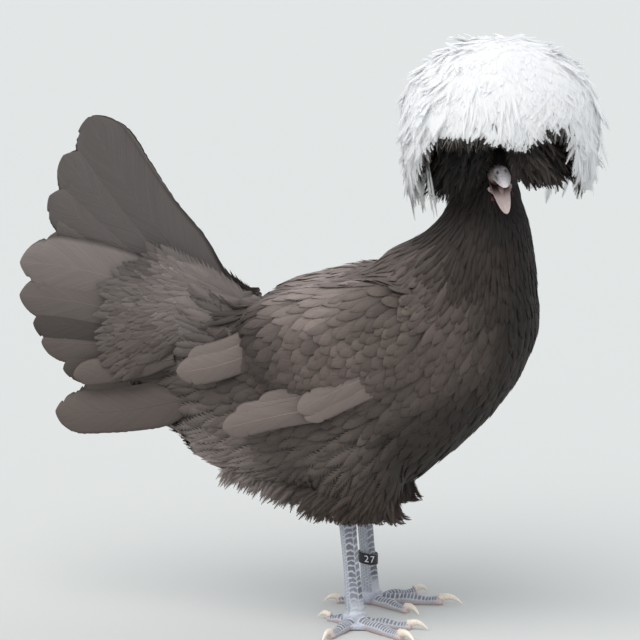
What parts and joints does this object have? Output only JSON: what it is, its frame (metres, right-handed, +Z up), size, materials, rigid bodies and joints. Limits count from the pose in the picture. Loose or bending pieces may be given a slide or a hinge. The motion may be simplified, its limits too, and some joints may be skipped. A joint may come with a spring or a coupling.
{
  "type": "white-crested polish hen",
  "caption": "Life-size standing hen with dark dun plumage, a round white crest over an open beak, a tented tail and slate legs.",
  "frame": {"origin": "on the floor, under the middle of the whole hen's box", "axes": "+X the way the hen's body faces, +Y to its left side, +Z up"},
  "size_m": [0.43, 0.1652, 0.436],
  "materials": {
    "plumage": "dun brown body feathers, soft and matt with paler edges",
    "tail_plumage": "greyer stiff tail and flight feathers with a faint sheen",
    "crest": "white crest feathers with a cool shade between them",
    "face": "short blackish brown face feathers",
    "beak": "pale pinkish horn with a slate tint at the nostrils",
    "mouth": "moist dark pink",
    "eye": "dark orange-brown iris under a clear cornea",
    "wattle": "finely pebbled red skin",
    "shank": "slate-blue horny scutes with pale rims",
    "claw": "cream horn",
    "band": "black plastic with plain white numbers"
  },
  "bodies": {
    "root": {"beak_lower": "beak", "beak_upper": "beak", "crest": "crest", "eye_left": "eye", "eye_right": "eye", "face_feathers": "face", "head": "face", "hind_toe_claw_left": "claw", "hind_toe_claw_right": "claw", "hind_toe_left": "shank", "hind_toe_right": "shank", "inner_toe_claw_left": "claw", "inner_toe_claw_right": "claw", "inner_toe_left": "shank", "inner_toe_right": "shank", "leg_band": "band", "middle_toe_claw_left": "claw", "middle_toe_claw_right": "claw", "middle_toe_left": "shank", "middle_toe_right": "shank", "neck": "plumage", "outer_toe_claw_left": "claw", "outer_toe_claw_right": "claw", "outer_toe_left": "shank", "outer_toe_right": "shank", "primaries_left": "tail_plumage", "primaries_right": "tail_plumage", "shank_left": "shank", "shank_right": "shank", "tail_coverts": "tail_plumage", "tail_feather_left_1": "tail_plumage", "tail_feather_left_2": "tail_plumage", "tail_feather_left_3": "tail_plumage", "tail_feather_left_4": "tail_plumage", "tail_feather_left_5": "tail_plumage", "tail_feather_left_6": "tail_plumage", "tail_feather_left_7": "tail_plumage", "tail_feather_right_1": "tail_plumage", "tail_feather_right_2": "tail_plumage", "tail_feather_right_3": "tail_plumage", "tail_feather_right_4": "tail_plumage", "tail_feather_right_5": "tail_plumage", "tail_feather_right_6": "tail_plumage", "tail_feather_right_7": "tail_plumage", "tertials_left": "tail_plumage", "tertials_right": "tail_plumage", "thigh_left": "plumage", "thigh_right": "plumage", "tongue": "mouth", "trunk": "plumage", "wattle_left": "wattle", "wattle_right": "wattle", "wing_left": "plumage", "wing_right": "plumage"}
  },
  "joints": []
}
